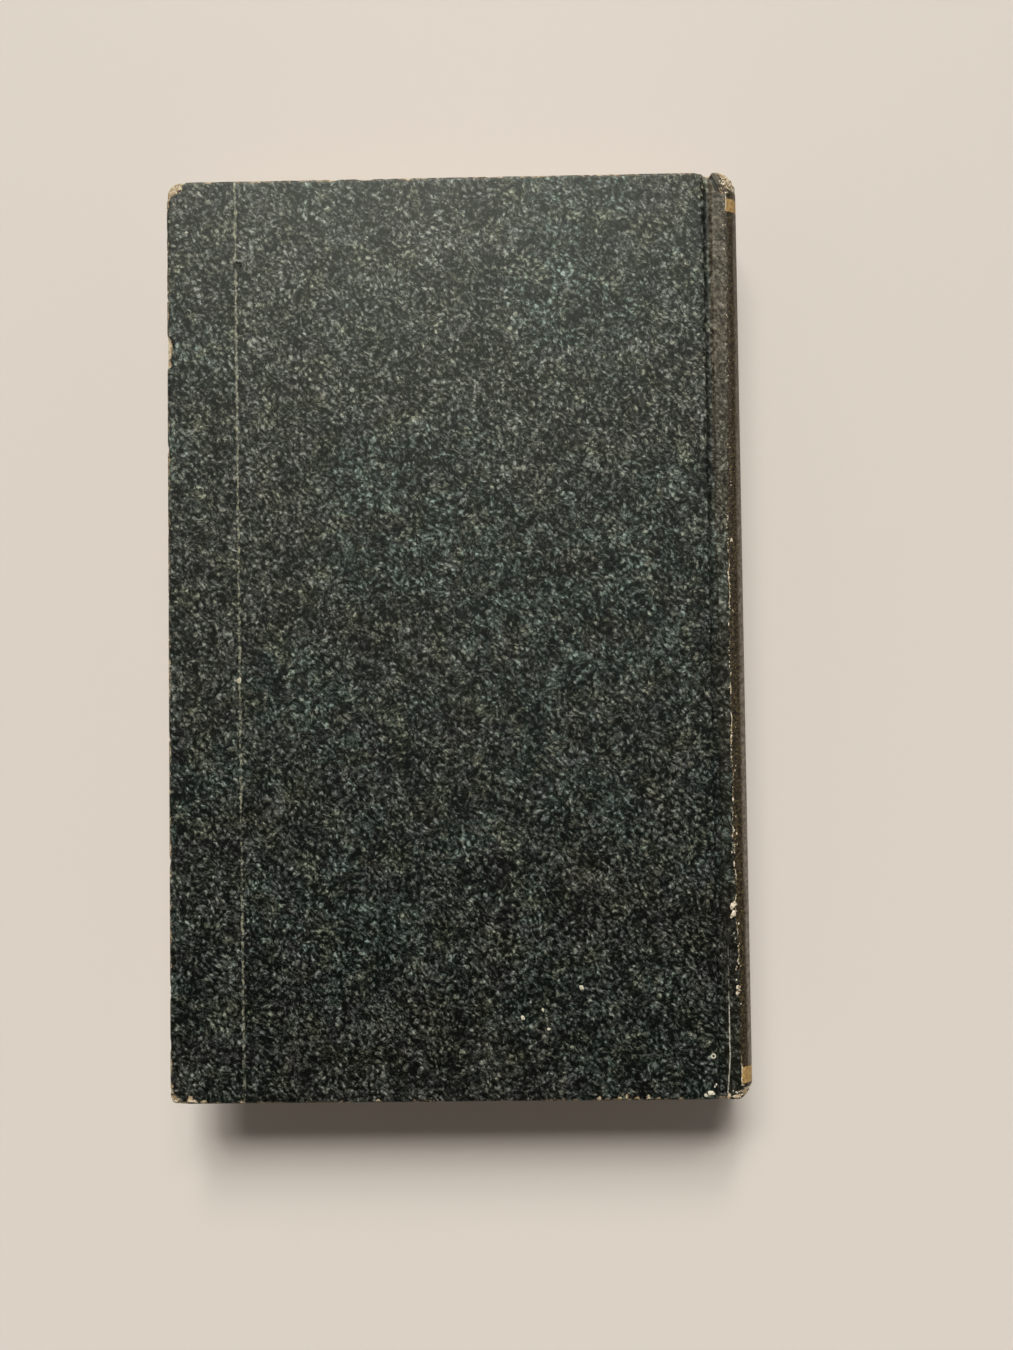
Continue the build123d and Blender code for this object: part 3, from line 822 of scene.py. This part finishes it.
covering_piece("back_covering", back_spots, 0.38, 11, (268, 460, 12, 1), back_paper, False)
front_spots = [
    (-58.9, 94.3, 2.4, 1.9, 0.9), (-59, -94.5, 1.9, 1.5, 0.9),
    (58, 94.8, 2.5, 1, 0.8), (58, -94.8, 2.5, 1, 0.8),
]
covering_piece("front_covering", front_spots, 0.3, 57, (136, 232, 8, 0.7), front_paper, True)


# Card that stiffens the spine, inside the covering

def spine_card():
    steps = 24
    reach = math.degrees(math.asin(card_level / (spine_round - card_middle)))
    outer = arc(spine_centre_x, mid, spine_round - card_outer, reach, -reach, steps)
    inner = arc(spine_centre_x, mid, spine_round - card_inner, -reach, reach, steps)
    ring = np.concatenate([outer, inner])
    count = len(ring)
    points = [(x, y, z) for y in (-card_end, card_end) for x, z in ring]
    faces = [(k, (k + 1) % count, count + (k + 1) % count, count + k) for k in range(count)]
    for first in (0, count):
        for k in range(steps - 1):
            quad = (first + k, first + k + 1, first + count - 2 - k, first + count - 1 - k)
            faces.append(quad if first else quad[::-1])
    piece = make_piece("spine_card", points, faces, board)
    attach(piece, "pages")
    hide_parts("spine_inlay")


spine_card()


# Label round the spine, its edges frayed and a little uneven

def label_piece():
    onto_shoulder, lower_end, rim_width, fray_width = 0.9, -82, 1.2, 0.5
    path = np.concatenate([
        np.linspace((shoulder_x - onto_shoulder, crest), (shoulder_x, crest), 8),
        arc(shoulder_x, mid + shoulder_level, shoulder_radius, 90, shoulder_angle, 18),
        arc(spine_centre_x, mid, spine_round, shoulder_angle, -shoulder_angle, 40),
        arc(shoulder_x, mid - shoulder_level, shoulder_radius, -shoulder_angle, lower_end, 18),
    ])
    run = lengths(path)
    width = run[-1]
    across = np.concatenate([
        [0],
        np.linspace(0, rim_width, 7),
        np.linspace(rim_width, width - rim_width, 46)[1:-1],
        np.linspace(width - rim_width, width, 7),
        [width],
    ])
    along = np.concatenate([[label_tail], np.linspace(label_tail, label_head, 420), [label_head]])
    s, y = np.meshgrid(across, along)
    rim = np.zeros(s.shape)
    rim[:, [0, -1]] = 1
    rim[[0, -1], :] = 1
    inward = (s, width - s, y - label_tail, label_head - y)
    near_upper, near_lower, near_tail, near_head = [np.exp(-way / fray_width) for way in inward]
    drawn_in = 0.95 - 0.75 * waist(y)
    fray = 0.2 * wander(y, 2.3, 201) + 0.14 * wander(y, 0.7, 202)
    moved_s = s + np.exp(-s / 2.5) * drawn_in + near_upper * fray
    moved_s -= near_lower * (0.18 + 0.22 * wander(y, 2.1, 203))
    moved_y = y + near_tail * (0.15 + 0.2 * wander(s, 1.6, 204))
    moved_y -= near_head * (0.15 + 0.2 * wander(s, 1.3, 205))
    x, z = np.interp(moved_s, run, path[:, 0]), np.interp(moved_s, run, path[:, 1])
    turn = np.gradient(path, axis=0)
    turn /= np.hypot(*turn.T)[:, None]
    nx, nz = np.interp(moved_s, run, -turn[:, 1]), np.interp(moved_s, run, turn[:, 0])
    near_rim = np.maximum.reduce([near_upper, near_lower, near_tail, near_head])
    lift = label_thickness * (1 - rim) * (1 - 0.25 * near_rim)
    points = np.stack([x + nx * lift, moved_y, z + nz * lift], -1).reshape(-1, 3)
    ridge = 0.4 + 0.26 * step_up(30, 5, y) * step_up(-85, -60, y)
    ridge += 0.62 * step_up(-87.6, -88.4, y) * step_up(-92.2, -91.4, y) + 0.5 * step_up(85.5, 87, y)
    wear = near_upper * (ridge + 0.25 * wander(y, 1.7, 206)) + 0.45 * near_lower
    wear = wear + 0.5 * near_tail + 0.45 * near_head
    flat = np.stack([s, moved_y], -1).reshape(-1, 2)
    faces = grid_faces(len(along), len(across))
    piece = make_piece("label", points, faces, label_material, flat, wear.reshape(-1))
    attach(piece, "pages")
    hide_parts("spine_label")


label_piece()


# Torn flakes and dried spots, each a low dome of uneven outline

def flakes(name, places, material, body):
    """Places are flat coordinates on the back covering, a radius, a height and a stretch along the book."""
    points, faces = [], []
    rng = np.random.default_rng(len(places))
    sides, clear = 16, 0.02
    angles = np.linspace(0, 2 * np.pi, sides + 1)[:-1]
    for u, v, radius, height, stretch in places:
        on_label = u > label_u and label_tail < v < label_head
        centre, normal = on_covering(u, v, label_thickness + 0.01 if on_label else clear)
        side = np.cross((0, 1, 0), normal)
        first = len(points)
        points.append(centre + normal * height)
        outline = 1 + 0.3 * wander(angles, 0.8, rng.integers(9999)) + rng.uniform(-0.16, 0.16, sides)
        for share, level in ((0.6, 0.8), (1, -0.35)):
            for a, r in zip(angles, outline):
                spot = radius * share * r
                along = np.array([0, 1, 0]) * spot * stretch * np.sin(a)
                points.append(centre + side * spot * np.cos(a) + along + normal * height * level)
        for k in range(sides):
            n = (k + 1) % sides
            faces.append((first, first + 1 + n, first + 1 + k))
            faces.append((first + 1 + k, first + 1 + n, first + 1 + sides + n, first + 1 + sides + k))
    piece = make_piece(name, points, faces, material)
    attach(piece, body)


cover_spots = [
    (24.47, -72.2, 0.55, 0.12, 1), (12.44, -78.1, 0.45, 0.1, 1.1), (17.7, -80.4, 0.32, 0.08, 1),
    (16.5, -76.5, 0.28, 0.08, 1.2), (50.2, -93.4, 0.72, 0.07, 0.8), (49.2, -93.9, 0.35, 0.05, 0.8),
    (51, -92.3, 0.16, 0.05, 1.3), (51.3, -91.9, 0.15, 0.05, 1.5), (-44.9, -8.9, 0.42, 0.1, 1.3),
    (-55.25, 84.2, 0.3, 0.08, 0.8),
]
crease_flecks = [
    (-45.05, 88.1, 0.4, 0.05, 1.5), (-44.95, 73.3, 0.32, 0.05, 1.5), (-44.9, 75, 0.2, 0.05, 1.3),
    (-44.9, 71, 0.2, 0.05, 1.5), (-45, 85.6, 0.25, 0.05, 1.6), (-45.05, 41, 0.22, 0.05, 1.5),
    (-44.85, 47.5, 0.2, 0.05, 1.6), (-44.8, -33, 0.22, 0.05, 1.6), (-44.6, -80, 0.2, 0.05, 1.4),
]
circle = np.linspace(0, 2 * np.pi, 11)[:-1]
ring = [(50.8 + 0.4 * np.cos(a), -86.1 + 0.4 * np.sin(a), 0.15, 0.05, 1) for a in circle]
flakes("cover_spots", cover_spots + ring, spot_material, "back_cover")
flakes("crease_flecks", crease_flecks, dull_material, "back_cover")

ridge_flakes = [
    (55.75, -56.2, 0.55, 0.12, 1.4), (56.15, -57.6, 0.5, 0.12, 1.4), (55.6, -58, 0.35, 0.1, 1.2),
    (56.2, -55.4, 0.3, 0.1, 1.3), (56.55, -72.4, 0.36, 0.1, 1.3), (56.45, -73.6, 0.34, 0.1, 1.4),
    (56.8, -4.9, 0.34, 0.1, 1.2), (56.9, 18.4, 0.28, 0.1, 1.4), (56.5, 0.5, 0.3, 0.1, 1.1),
    (56.4, -34.5, 0.3, 0.1, 1.4), (56.35, -42, 0.34, 0.1, 1.3), (56.4, -47.5, 0.3, 0.1, 1.8),
]
rng = np.random.default_rng(77)
for v in rng.uniform(-76, 26, 100):
    u = 57 - 0.6 * waist(v) + 0.3 * rng.normal()
    ridge_flakes.append((u, v, rng.uniform(0.06, 0.15), 0.05, rng.uniform(1, 2.2)))
for v in rng.uniform(26, 86, 30):
    u = 56.9 + 0.25 * rng.normal()
    ridge_flakes.append((u, v, rng.uniform(0.06, 0.13), 0.05, rng.uniform(1, 2)))
for _ in range(26):
    v = 93 + 0.7 * rng.normal()
    ridge_flakes.append((rng.uniform(55.4, 59.4), v, rng.uniform(0.08, 0.22), 0.06, rng.uniform(0.8, 1.6)))
for _ in range(22):
    v = -93.6 + 0.45 * rng.normal()
    ridge_flakes.append((rng.uniform(54.2, 60), v, rng.uniform(0.08, 0.22), 0.035, rng.uniform(0.7, 1.3)))
flakes("ridge_flakes", ridge_flakes, flake_material, "pages")


# Cut edges of the pages: a ridge for each few leaves, hollow at the fore edge and fanned at the shoulders

def page_edges():
    leaves, ridge, dip, spread, clear = 151, 0.09, 0.02, 0.035, 0.02
    t = np.linspace(-1, 1, leaves)
    rng = np.random.default_rng(31)
    proud = np.where(np.arange(leaves) % 2 == 0, ridge, dip) + spread * rng.uniform(-1, 1, leaves)
    hollow_round = (pages_level**2 + fore_edge_hollow**2) / (2 * fore_edge_hollow)
    hollow_x = pages_fore_x + fore_edge_hollow - hollow_round
    fore = hollow_x + np.sqrt(hollow_round**2 - (pages_level * t) ** 2)
    y = np.linspace(-pages_head, pages_head, 93)
    grid_t, grid_y = np.meshgrid(t, y, indexing="ij")
    uneven = 0.05 * np.stack([wander(y, 24, 300 + k) for k in range(leaves)])
    x = fore[:, None] - proud[:, None] - uneven - 0.03
    points = np.stack([x, grid_y, mid + pages_level * grid_t], -1).reshape(-1, 3)
    pieces = [make_piece("fore_edge", points, grid_faces(leaves, len(y)), pages_material)]
    flare_run, flare_rise = tip_x - backing_x, tip_level - pages_level
    flare_round = (flare_run**2 + flare_rise**2) / (2 * flare_rise)
    back = backed_centre_x + np.sqrt(backed_round**2 - (tip_level * t) ** 2) - 0.05
    share = np.concatenate([np.linspace(0, 0.9, 50), np.linspace(0.9, 1, 41)[1:]])
    x = fore[:, None] + (back - fore)[:, None] * share[None, :]
    past = np.clip(x - backing_x, 0, flare_run)
    level = pages_level + flare_round - np.sqrt(flare_round**2 - past**2)
    z = mid + t[:, None] * (level - clear)
    uneven = 0.03 * np.stack([wander(share, 0.2, 700 + k) for k in range(leaves)])
    for name, way in (("head_edge", 1), ("tail_edge", -1)):
        ends = way * (pages_head + clear + 0.6 * proud[:, None] + uneven)
        points = np.stack([x, ends, z], -1).reshape(-1, 3)
        faces = grid_faces(leaves, len(share), flip=way > 0)
        pieces.append(make_piece(name, points, faces, pages_material))
    for piece in pieces:
        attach(piece, "pages")


page_edges()


# Bands at head and tail: a bead wound with thread, in two colours

def band_piece(name, way):
    turns, sides, thread, closed = 240, 14, 0.07, 0.55
    half = math.asin((pages_level - band_end_margin) / backed_round)
    points = []
    for k, a in enumerate(np.linspace(-half, half, turns + 1)):
        cord = band_radius * (1 - thread + thread * math.cos(k * math.pi / 2))
        cord *= 1 if 0 < k < turns else closed
        for b in np.linspace(0, 2 * np.pi, sides + 1)[:-1]:
            r = backed_round - band_sink + cord * math.cos(b)
            y = way * (pages_head + band_radius + cord * math.sin(b))
            points.append((backed_centre_x + r * math.cos(a), y, mid + r * math.sin(a)))
    faces = []
    for k in range(turns):
        for b in range(sides):
            n = (b + 1) % sides
            quad = (k * sides + b, k * sides + n, (k + 1) * sides + n, (k + 1) * sides + b)
            faces.append(quad if way < 0 else quad[::-1])
    faces += [tuple(range(sides)), tuple(turns * sides + b for b in range(sides))[::-1]]
    piece = make_piece(name + "_bead", points, faces, band_cloth)
    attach(piece, "pages")
    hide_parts(name)


band_piece("headband", 1)
band_piece("tailband", -1)


# Fold of each endpaper across its joint, from the pastedown to the shoulder of the pages

def endpaper_fold(name, below):
    from_joint = [
        (-1.82, 18.52), (-1.12, 18.5), (-0.62, 18.62), (-0.02, 18.92),
        (0.58, 19.38), (1.03, 19.9), (1.28, 20.35),
    ]
    path = np.array(from_joint) + (joint_x, 0)
    run = lengths(path)
    fine = np.linspace(0, run[-1], 25)
    y = np.linspace(-pages_head, pages_head, 47)
    s, grid_y = np.meshgrid(fine, y)
    x, z = [np.interp(s, run, path[:, k]) for k in (0, 1)]
    outer = np.stack([x, grid_y, z], -1).reshape(-1, 3)
    points = np.concatenate([outer, outer - (0, 0, endpaper_thickness)])
    faces = grid_faces(len(y), len(fine)) + grid_faces(len(y), len(fine), len(outer), flip=True)
    flat = np.tile(np.stack([s, grid_y], -1).reshape(-1, 2), (2, 1))
    if below:
        points, faces = turned_over(points, faces)
    piece = make_piece(name, points, faces, fold_paper, flat)
    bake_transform(piece)


endpaper_fold("back_endpaper_fold", False)
endpaper_fold("front_endpaper_fold", True)

# Materials of the solids that show as they are
plain_solids = (
    (board, ("back_board", "front_board")),
    (pages_material, ("text_block",)),
    (endpaper, ("back_pastedown", "front_pastedown", "back_flyleaf", "front_flyleaf")),
    (gauze, ("back_hinge_cloth", "front_hinge_cloth", "spine_mull")),
)
for material, names in plain_solids:
    for name in names:
        nodes[name].data.materials.clear()
        nodes[name].data.materials.append(material)

# Floor
floor_half = 4
floor_paint = Paint("floor", 0.6, 0.2)
floor_place = floor_paint.node("TexCoord").outputs["Object"]
floor_shade = floor_paint.noise(floor_place, 3, 3, 0.5, "3D")
floor_colour = floor_paint.mix(floor_shade, (0.685, 0.628, 0.57), (0.715, 0.658, 0.6))
floor_corners = [(floor_half * x, floor_half * y, 0) for x, y in ((-1, -1), (1, -1), (1, 1), (-1, 1))]
floor_mesh = bpy.data.meshes.new("floor")
floor_mesh.from_pydata(floor_corners, [], [(0, 1, 2, 3)])
floor_mesh.materials.append(floor_paint.finish(floor_colour))
floor = put("floor", floor_mesh)

# Light: a wide tall window beyond the head of the book, as lamps with slopes and shares of its light
window_light = 2.75
window_softness = math.radians(9)
window_colour = (1, 0.985, 0.95)
window_lamps = [
    (0.42, -0.8, 0.13), (0.16, -0.82, 0.15), (-0.05, -0.82, 0.14), (0.26, -1.02, 0.13),
    (-0.1, -1.02, 0.12), (0.1, -1.26, 0.12), (-0.32, -1.1, 0.08), (-0.02, -1.5, 0.13),
]
for k, (aside, along, share) in enumerate(window_lamps):
    window = bpy.data.lights.new(f"window_{k}", "SUN")
    slope = Vector((aside, along, -1))
    window.angle = window_softness
    window.energy = window_light * share * slope.length
    window.color = window_colour
    put(f"window_{k}", window).rotation_euler = slope.to_track_quat("-Z", "Y").to_euler()

# Light of the room: warm and faint, and fainter overhead
room_shade = (("From Min", 0.35), ("From Max", 0.9), ("To Min", 0.32), ("To Max", 0.02))
room_colour = (1, 0.8, 0.68)
world = bpy.data.worlds.new("room")
bpy.context.scene.world = world
world.use_nodes = True
room = Nodes(world.node_tree)
up = room.apart(room.node("TexCoord").outputs["Generated"])["Z"]
strength = room.node("MapRange", [("Value", up), *room_shade]).outputs["Result"]
background = room.tree.nodes["Background"]
room.tree.links.new(strength, background.inputs["Strength"])
room.tree.links.new(room.mix(strength, window_colour, room_colour), background.inputs["Color"])

# Camera, at the photograph's place: almost straight above. Place in metres, turn in degrees
camera_place = (0.012474, -0.013974, 0.228520)
camera_turn = (1.490, 0.704, -0.741)
focal_pixels = 1014
frame_pixels = 1350
sensor_width = 36.0
camera = put("camera", bpy.data.cameras.new("camera"))
camera.data.sensor_width = sensor_width
camera.data.lens = focal_pixels * sensor_width / frame_pixels
camera.data.clip_start = 0.01
turn = Euler([math.radians(a) for a in camera_turn], "XYZ").to_matrix().to_4x4()
camera.matrix_world = Matrix.Translation(camera_place) @ turn
bpy.context.scene.camera = camera
bpy.context.scene.view_settings.view_transform = "Standard"
